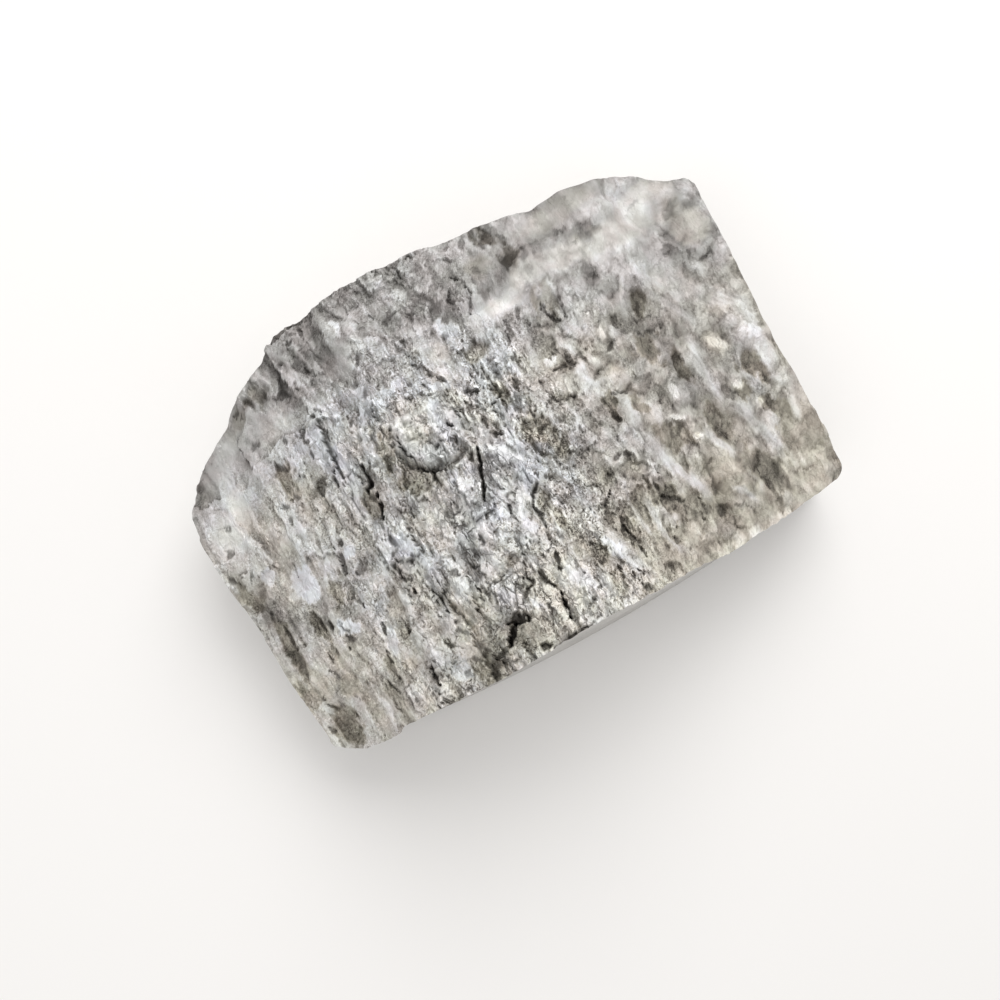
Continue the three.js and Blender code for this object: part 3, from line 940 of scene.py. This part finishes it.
def cracks(f):
    wander = f.fray((0.22, 0.9, 83), (0.14, 0.4, 84))
    for route, width, depth in routed(f.base, CRACKS):
        away, along = beside(f.x + wander, f.y + wander, route)
        gape = 0.7 + 0.6 * noise(along * 4, np.full(along.shape, route[0][0]), 85)
        open_by = width / 2 * gape * np.sqrt(np.clip(1 - (2 * along - 1) ** 4, 0, 1)) + 1e-3
        inside = smooth(1.5 - away / open_by, 0, 0.9 + 0.6 * f.worn) * (open_by > 0.15 * width)
        f.relief -= depth * inside
        f.add_cavity_shade(min(1, math.sqrt(depth)) * inside * (1 - 0.45 * f.worn))


def dull_edges(f):
    """The broken metal is crispest round the crest, and duller and smoother towards the far edges."""
    dull = 0.35 * f.soft_side + 0.4 * f.worn
    f.relief = f.relief + dull * (1 - f.shine) * (soften(f.relief, 0.4) - f.relief)


def paint_light_and_shade_by_height(f):
    """Painted highlights on raised edges, and painted shade, browner, in low places and at steps' feet."""
    softened = soften(f.relief, 0.45)
    fine, broad = f.relief - softened, softened - soften(f.relief, 2.2)
    f.tone += (1.0 - 0.4 * f.far) * (1 - 0.8 * f.calm) * np.tanh(fine / 0.14) + 0.35 * np.tanh(broad / 0.35)
    f.warm -= 0.5 * np.tanh(broad / 0.4)
    flecks = smooth(noise(f.wx / 0.42, f.wy / 1.5, 73), 0.42, 0.8)
    flecks = flecks * smooth(noise(f.x / 2.5, f.y / 4, 74), -0.3, 0.3)
    f.add_cavity_shade(0.6 * flecks * (1 - f.calm) * (1 - 0.6 * f.far))
    shut = smooth(noise(f.x / 1.9, f.y / 2.7, 75), -0.35, 0.15)
    f.add_cavity_shade(0.6 * shut * smooth(-fine, 0.1, 0.4))
    f.add_cavity_shade(0.4 * f.outline * shut)
    step_foot_shade = smooth(soften(f.relief, 0.24) - f.relief, 0.05, 0.17)
    ajar = smooth(noise(f.x / 2.3, f.y / 3.1, 79), -0.5, 0.1)
    f.add_cavity_shade((0.8 - 0.6 * f.worn - 0.2 * f.soft_side) * ajar * step_foot_shade * (1 - 0.8 * f.calm))


def broad_tone_and_painted_shade(f):
    """The break is darker at its left end; its right side and far edge are painted darker as shade."""
    f.tone += 0.12 * layered(f.x / 6, f.y / 9, 97, 3)
    f.tone += 1.0 - 1.1 * f.left_end + 0.1 * smooth(-f.y, 6, 18) - 3.65 * smooth(f.x, 3, 14)
    f.tone -= 2.0 * smooth(f.y, 9, 17) * (1 - 0.55 * smooth(f.x, 2, 14))


def coarseness(f):
    """How coarse the fine grain is, from 0 to 1."""
    coarse = 0.75 + 0.5 * layered(f.x / 2.6, f.y / 4.5, 77, 2)
    grain = (1 - 0.75 * f.far) * (1 - 0.7 * f.calm) * (1 - 0.35 * f.sleek) * np.clip(coarse, 0.3, 1.3)
    return grain * (1 - 0.75 * smooth(f.y, 8, 18)) * (1 - 0.5 * f.soft_side)


LAYERS = (  # in the order in which they go on
    torn_flakes,
    soft_lumps,
    streaks,
    broad_warmth,
    round_lumps,
    hollows,
    webs,
    pores,
    knot,
    cast_smooth,
    tone_and_painted_light,
    plates,
    glints,
    pits,
    cracks,
    dull_edges,
    paint_light_and_shade_by_height,
    broad_tone_and_painted_shade,
)


def break_relief(x, y, base):
    """The break's relief over its broad shape, and its looks by name."""
    f = Face(x, y, base)
    for layer in LAYERS:
        layer(f)
    cavity_shade = np.clip(f.cavity_shade, 0, 1)
    looks = {"tone": f.tone, "warm": f.warm, "cavity_shade": cavity_shade, "shine": f.shine, "grain": coarseness(f)}
    return f.relief, looks


# ---- The mesh ----
def coons(low, right, high, left, u, v):
    """A grid between four edges that share their ends. u and v are the edges' own steps."""
    U, V = np.meshgrid(u, v)
    U, V = U[..., None], V[..., None]
    sides = (1 - V) * low[None] + V * high[None] + (1 - U) * left[:, None] + U * right[:, None]
    corners = (1 - U) * (1 - V) * low[0] + U * (1 - V) * low[-1] + (1 - U) * V * high[0] + U * V * high[-1]
    return sides - corners


def rim_steps(outline):
    """Where the grid's four sides run along the outline. They meet just inside the open face's
    corners and in the middle of the bevels."""
    side, open_side = WIDTH / 2, OPEN_FACE_WIDTH / 2
    corners = [
        (-open_side + CORNER_INSET, CORNER_INSET),
        (open_side - CORNER_INSET, CORNER_INSET),
        (side - SHORT_BEVEL[0] / 2, THICKNESS - SHORT_BEVEL[1] / 2),
        (-side + LONG_BEVEL[0] / 2, THICKNESS - LONG_BEVEL[1] / 2),
    ]
    ends = corners[1:] + corners[:1]
    counts = (COLUMNS, ROWS, COLUMNS, ROWS)
    return [between(outline, np.array(a), np.array(b), count) for a, b, count in zip(corners, ends, counts)]


def broken_face(outline, steps):
    """The break's grid: section coordinates, heights and looks."""
    broken = torn(outline)
    low, right, high, left = (sample(outline, broken, s) for s in steps)
    high, left = high[::-1], left[::-1]
    high[0], high[-1], left[0], right[0] = left[-1], right[-1], low[0], low[-1]
    grid = coons(low, right, high, left, np.linspace(0, 1, COLUMNS + 1), np.linspace(0, 1, ROWS + 1))
    sx, sy = grid[..., 0], grid[..., 1]
    base = read_base()
    z = np.full(sx.shape, 20.0)
    for _ in range(4):
        x, y = place(sx, sy, z)
        z = look_up(base, x, y)
    relief, looks = break_relief(*place(sx, sy, z), base)
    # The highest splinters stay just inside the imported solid's top.
    z = z + relief
    top = cad_box[1][2] / MM - TOP_MARGIN
    squeezed = top + TOP_SQUEEZE * (1 - np.exp(-np.maximum(z - top, 0) / TOP_SQUEEZE))
    return sx, sy, np.where(z > top, squeezed, z), looks


def add_object(name, data):
    added = bpy.data.objects.new(name, data)
    bpy.context.scene.collection.objects.link(added)
    return added


def build_piece():
    """The piece as one closed mesh: the break, the walls below its rim, and the cast end."""
    outline = section_outline()
    steps = rim_steps(outline)
    cast_rim = np.vstack([sample(outline, outline, s)[:-1] for s in steps])
    sx, sy, z, looks = broken_face(outline, steps)
    index = np.arange(sx.size).reshape(sx.shape)
    sx, sy, z = sx.ravel(), sy.ravel(), z.ravel()
    verts = [np.stack([*place(sx, sy, z), z], 1)]
    skin = [np.zeros(sx.size)]
    quads = np.stack([index[:-1, :-1], index[:-1, 1:], index[1:, 1:], index[1:, :-1]], -1)
    faces = [quads.reshape(-1, 4)]
    rim = np.concatenate([index[0, :-1], index[:-1, -1], index[-1, :0:-1], index[:0:-1, 0]])
    broken_rim, rim_z = np.stack([sx[rim], sy[rim]], 1), z[rim]
    # The walls run down from the rim and round into the cast end.
    above, total = rim, sx.size
    for k in range(1, WALL_ROWS + END_ROWS + 1):
        if k <= WALL_ROWS:
            share = (k / WALL_ROWS) ** WALL_CROWDING
            wall_z, inset = rim_z * (1 - share) + END_RADIUS * share, 0.0
        else:
            turn = (k - WALL_ROWS) / END_ROWS * math.pi / 2
            wall_z = np.full(len(rim), END_RADIUS * (1 - math.sin(turn)))
            inset = END_RADIUS * (1 - math.cos(turn))
        torn_share = np.exp(-(rim_z - wall_z) / TEAR_DEPTH)[:, None]
        wall = broken_rim * torn_share + cast_rim * (1 - torn_share) - outward(cast_rim) * inset
        verts.append(np.stack([*place(wall[:, 0], wall[:, 1], wall_z), wall_z], 1))
        skin.append(np.ones(len(rim)))
        below = total + np.arange(len(rim))
        faces.append(np.stack([above, below, np.roll(below, -1), np.roll(above, -1)], 1))
        above, total = below, total + len(rim)
    mesh = bpy.data.meshes.new("ingot_piece_visual")
    cast_end = above[::-1].tolist()
    mesh.from_pydata((np.vstack(verts) * MM).tolist(), [], np.vstack(faces).tolist() + [cast_end])
    mesh.update()
    on_walls = np.zeros(total - sx.size)
    looks = {name: np.concatenate([values.ravel(), on_walls]) for name, values in looks.items()}
    for name, values in {"skin": np.concatenate(skin), **looks}.items():
        layer = mesh.attributes.new(name, "FLOAT", "POINT")
        layer.data.foreach_set("value", values.astype(np.float32))
    return add_object("ingot_piece_body", mesh)


# ---- Materials ----
METAL = (  # the broken metal, from dark to bright
    (0.0, (0.07, 0.063, 0.055)),
    (0.28, (0.36, 0.34, 0.315)),
    (0.5, (0.62, 0.60, 0.57)),
    (0.72, (0.82, 0.815, 0.805)),
    (1.0, (0.91, 0.915, 0.925)),
)
TONE_STEP, TONE_MIDDLE = 0.11, 0.55  # of that range, to one step of tone, and where tone 0 lies
WARMTH = (  # its tint, from blue to brown
    (0.2, (0.98, 0.99, 1.02)),
    (0.5, (1, 0.995, 0.985)),
    (0.8, (0.97, 0.95, 0.905)),
    (1.0, (0.95, 0.92, 0.84)),
)
TARNISH = ((0.38, (0.985, 1, 0.985)), (0.5, (1, 1, 1)), (0.64, (1, 0.975, 0.978)))  # green to pink
CREVICE_SHADE = (0.05, 0.043, 0.037, 1)
CAST_SKIN = ((0.25, (0.43, 0.417, 0.4)), (0.5, (0.55, 0.535, 0.51)), (0.75, (0.64, 0.625, 0.6)))
PINHOLE_SHADE = (0.12, 0.115, 0.11, 1)
FLOOR = (0.88, 0.862, 0.842, 1)


class Value:
    """What a node gives. Numbers can be used in sums like any others."""

    def __init__(self, nodes, socket):
        self.nodes, self.socket = nodes, socket

    def __add__(self, other):
        return self.nodes.math("ADD", self, other)

    def __sub__(self, other):
        return self.nodes.math("SUBTRACT", self, other)

    def __rsub__(self, other):
        return self.nodes.math("SUBTRACT", other, self)

    def __mul__(self, other):
        return self.nodes.math("MULTIPLY", self, other)

    __radd__, __rmul__ = __add__, __mul__

    def clamp(self):
        """The result of a sum, kept between 0 and 1."""
        self.socket.node.use_clamp = True
        return self


class Nodes:
    """Short ways to build a node tree."""

    def __init__(self, owner):
        self.owner = owner
        owner.use_nodes = True
        self.tree = owner.node_tree
        self.tree.nodes.clear()

    def add(self, kind, inputs=None, **settings):
        """A new shader node, with its inputs and settings."""
        node = self.tree.nodes.new("ShaderNode" + kind)
        for name, value in settings.items():
            setattr(node, name, value)
        for name, value in (inputs or {}).items():
            socket = node.inputs[name]
            if isinstance(value, Value):
                self.tree.links.new(value.socket, socket)
            else:
                socket.default_value = value
        return node

    def get(self, kind, inputs=None, output=0, **settings):
        """What a new node gives at that output."""
        return Value(self, self.add(kind, inputs, **settings).outputs[output])

    def math(self, operation, *numbers):
        return self.get("Math", dict(enumerate(numbers)), operation=operation)

    def vector(self, operation, *vectors):
        return self.get("VectorMath", dict(enumerate(vectors)), operation=operation)

    def most(self, first, *others):
        for other in others:
            first = self.math("MAXIMUM", first, other)
        return first

    def stretch(self, where, scale):
        return self.get("Mapping", {"Vector": where, "Scale": scale})

    def mix(self, share, a, b, blend="MIX"):
        inputs = {0: share, 6: a, 7: b}
        return self.get("Mix", inputs, 2, data_type="RGBA", blend_type=blend)

    def blend(self, share, a, b):
        return self.get("Mix", {0: share, 2: a, 3: b}, data_type="FLOAT")

    def ramp(self, value, stops):
        node = self.add("ValToRGB", {0: value})
        ramp = node.color_ramp
        while len(ramp.elements) < len(stops):
            ramp.elements.new(0.5)
        for element, (position, color) in zip(ramp.elements, stops):
            element.position = position
            element.color = (*color, 1)
        return Value(self, node.outputs[0])

    def read(self, name):
        kind = {"attribute_name": name, "attribute_type": "GEOMETRY"}
        return self.get("Attribute", output="Fac", **kind)

    def grain(self, where, size, detail=3.0, rough=0.6, flat=True):
        """Noise with features of that size in millimetres; flat ignores height."""
        inputs = {"Vector": where, "Scale": 1 / size, "Detail": detail, "Roughness": rough}
        kind = "2D" if flat else "3D"
        return self.get("TexNoise", inputs, "Fac", noise_dimensions=kind)

    def lines(self, noise, sharpness):
        """1 where the noise passes its middle, and 0 a little way off."""
        return (1 - self.math("ABSOLUTE", noise - 0.5) * sharpness).clamp()

    def finish(self, looks):
        """The material, with a surface that has these looks."""
        self.add("OutputMaterial", {"Surface": self.get("BsdfPrincipled", looks)})
        return self.owner


def flakes(n, where, size):
    """Each flake's painted shading, which brightens to its free edge, its own lie, and its own shade of grey.
    """
    cell = n.add("TexVoronoi", {"Vector": where, "Scale": 1 / size}, voronoi_dimensions="2D")
    middle, color = (Value(n, cell.outputs[name]) for name in ("Position", "Color"))
    off = n.vector("SUBTRACT", where, middle)
    rise = n.get("VectorMath", {0: off, 1: (0.9, -0.6, 0)}, "Value", operation="DOT_PRODUCT")
    return rise * (1.6 / size), color, n.get("SeparateColor", {0: color})


def seams(n, where, size, width, open_share):
    """Thin lines between flakes, 1 on the line, painted as shade, and the lip beside each, painted
    bright as a highlight; some are shut.
    """
    kind = {"feature": "DISTANCE_TO_EDGE", "voronoi_dimensions": "2D"}
    away = n.get("TexVoronoi", {"Vector": where, "Scale": 1 / size}, "Distance", **kind)
    away = away * (size / width)
    lip = n.math("PINGPONG", n.math("MINIMUM", away - 1, 2), 1) * n.math("GREATER_THAN", away, 1)
    is_open = (n.grain(where, 1.3 * size, 1) * 8 - 8 * (1 - open_share)).clamp()
    return (1 - away).clamp() * is_open, lip * is_open


def hairs(n, where, size, width):
    """Hair cracks that wander along the grain, 1 on the line, painted dark as shade."""
    noise = n.grain(n.stretch(where, (1, 0.4, 1)), size, 2, 0.55)
    is_open = (n.grain(where, 1.7 * size, 1) * 10 - 5).clamp()
    return n.lines(noise, size / width / 1.6) * is_open


def cast_skin(n, mm, bent):
    """Duller and more even than the break, with laps where the metal rose in the mould, and pinholes
    painted dark as shade. Gives its colour, roughness and height."""
    cloud = n.grain(mm, 5.0, 4, 0.6, flat=False)
    rise = n.stretch(bent, (0.1, 1, 0.1))
    lap = n.lines(n.grain(rise, 2.2, 2, 0.55, flat=False), 16) * (cloud * 3 - 1).clamp()
    spots = n.get("TexVoronoi", {"Vector": mm, "Scale": 0.45}, "Distance")
    pinhole = (1 - spots * 7).clamp() * n.math("GREATER_THAN", cloud, 0.56)
    shade = cloud + 0.5 * n.grain(mm, 0.5, 2, 0.7, flat=False) - 0.25 - 0.2 * lap
    color = n.mix(0.8 * pinhole, n.ramp(shade, CAST_SKIN), PINHOLE_SHADE)
    height = 0.14 * n.grain(mm, 1.6, 4, 0.65, flat=False) - 0.12 * lap - 0.2 * pinhole
    return color, 0.3 * cloud + 0.27, height


def aluminium():
    n = Nodes(bpy.data.materials.new("broken_aluminium"))
    mm = n.stretch(n.get("TexCoord", output="Object"), (1 / MM, 1 / MM, 1 / MM))
    wobble = n.get("TexNoise", {"Vector": mm, "Scale": 1.6, "Detail": 1.0}, "Color")
    shift = n.vector("SUBTRACT", wobble, (0.5, 0.5, 0.5))
    bent = n.vector("MULTIPLY_ADD", shift, (0.7, 0.7, 0.7), mm)
    along = n.stretch(bent, (1, 0.5, 0.7))
    skin, tone, warm = n.read("skin"), n.read("tone"), n.read("warm")
    cavity_shade, shine, grain = n.read("cavity_shade"), n.read("shine"), n.read("grain")

    # What is too fine for the mesh: flakes, the seams between them, hair cracks, threads, specks.
    slope_shading_big, face_big, shade_big = flakes(n, along, 1.0)
    slope_shading_small, face_small, shade_small = flakes(n, along, 0.42)
    seam_big, lip_big = seams(n, along, 2.4, 0.14, 0.6)
    seam_small, lip_small = seams(n, along, 1.1, 0.1, 0.6)
    seam = n.most(seam_big, seam_small, hairs(n, along, 1.6, 0.1), hairs(n, along, 0.8, 0.1))
    lip = n.most(lip_big, lip_small)
    speckle = n.grain(bent, 0.25, 1, 0.9)
    flecks = n.grain(along, 1.13, 3, 0.7)
    thread = n.lines(n.grain(n.stretch(along, (1, 0.3, 1)), 0.55, 2, 0.6), 11)
    wisp = n.lines(n.grain(bent, 0.5, 2, 0.6), 13)
    # Painted light and shade: the flakes' slope shading and the seams' lips brighten, and the seams darken.
    fine = 2.3 * (speckle - 0.5) + 0.7 * (flecks - 0.5) + 0.3 * thread + 0.26 * wisp - 0.14
    fine = fine + 0.13 * (slope_shading_big + slope_shading_small) + 0.22 * lip + 0.2 * (shade_big + shade_small - 1)

    level = fine * grain + tone * TONE_STEP + TONE_MIDDLE
    metal = n.mix(1.0, n.ramp(level, METAL), n.ramp(warm * 0.5 + 0.5, WARMTH), "MULTIPLY")
    metal = n.mix(1.0, metal, n.ramp(n.grain(mm, 3.2, 2, 0.6), TARNISH), "MULTIPLY")
    # Painted shade: cracks, pits, pores, seams, hair cracks and gaps take the dark crevice colour.
    gap_shade = n.most(cavity_shade, (seam * grain).clamp())
    broken = n.mix(0.93 * gap_shade, metal, CREVICE_SHADE)
    rough = n.blend(shine, (0.2 * shade_small + 0.68 - 0.22 * grain).clamp(), 0.55)
    cast, cast_rough, dimples = cast_skin(n, mm, bent)

    height = 0.12 * speckle + 0.3 * flecks + 0.1 * slope_shading_big + 0.05 * slope_shading_small + 0.06 * lip - 0.15 * seam
    steepness = 0.85 * grain + 0.15
    height = n.blend(skin, height * steepness, dimples)
    normal = n.get("Bump", {"Height": height, "Distance": MM, "Strength": 1.0})
    # Each crystal's face tilts the normal its own way, on the break only.
    for face, amount in ((face_big, 0.36), (face_small, 0.3)):
        tilt = n.vector("SUBTRACT", face, (0.5, 0.5, 0.5))
        tilt = n.vector("MULTIPLY", tilt, (1 - skin) * amount * steepness)
        normal = n.vector("NORMALIZE", n.vector("ADD", normal, tilt))
    looks = {
        "Base Color": n.mix(skin, broken, cast),
        "Roughness": n.blend(skin, rough, cast_rough),
        "Metallic": n.blend(skin, 0.5, 0.9),
        "Normal": normal,
    }
    return n.finish(looks)


def pale_floor():
    n = Nodes(bpy.data.materials.new("pale_floor"))
    return n.finish({"Base Color": FLOOR, "Roughness": 0.9, "Specular IOR Level": 0.1})


# ---- Camera, floor and light ----
FLOOR_SIDE = 6.0  # metres
WORLD_LIGHT = 0.62
# Lamps: name, size, watts, and how far towards the picture's top, towards its right, and up.
LAMPS = (
    ("key", 0.33, 1.2, 0.27, 0.05, 0.31),
    ("fill", 0.3, 0.2, -0.18, -0.13, 0.3),
)


def add_camera():
    data = bpy.data.cameras.new("camera")
    data.sensor_width, data.lens = SENSOR, LENS
    data.clip_start, data.clip_end = 0.005, 20
    camera = add_object("camera", data)
    rows = [(right[k], up[k], -view[k], CAMERA_AT[k] * MM) for k in range(3)]
    camera.matrix_world = Matrix([*rows, (0, 0, 0, 1)])
    bpy.context.scene.camera = camera


def add_lamp(name, size, watts, toward_top, toward_right, height):
    data = bpy.data.lights.new(name, "AREA")
    data.shape, data.size, data.energy = "SQUARE", size, watts
    lamp = add_object(name, data)
    at = Vector(up_flat * toward_top + right * toward_right + np.array([0, 0, height]))
    lamp.location = at
    lamp.rotation_euler = (-at).to_track_quat("-Z", "Y").to_euler()


def add_floor():
    mesh = bpy.data.meshes.new("floor")
    half = FLOOR_SIDE / 2
    corners = [(-half, -half, 0), (half, -half, 0), (half, half, 0), (-half, half, 0)]
    mesh.from_pydata(corners, [], [(0, 1, 2, 3)])
    mesh.materials.append(pale_floor())
    add_object("floor", mesh)


def add_world():
    """Soft light from all round, and plain white where the camera sees past the floor."""
    world = bpy.data.worlds.new("studio")
    bpy.context.scene.world = world
    n = Nodes(world)
    lit, seen = (
        n.get("Background", {"Color": (1, 1, 1, 1), "Strength": strength})
        for strength in (WORLD_LIGHT, 1.0)
    )
    seen_directly = n.get("LightPath", output="Is Camera Ray")
    light = n.get("MixShader", {0: seen_directly, 1: lit, 2: seen})
    n.add("OutputWorld", {"Surface": light})


piece = build_piece()
piece.data.materials.append(aluminium())
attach(piece, "root")
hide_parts("ingot_piece")

add_floor()
add_world()
for lamp in LAMPS:
    add_lamp(*lamp)
add_camera()
bpy.context.scene.view_settings.view_transform = "Standard"
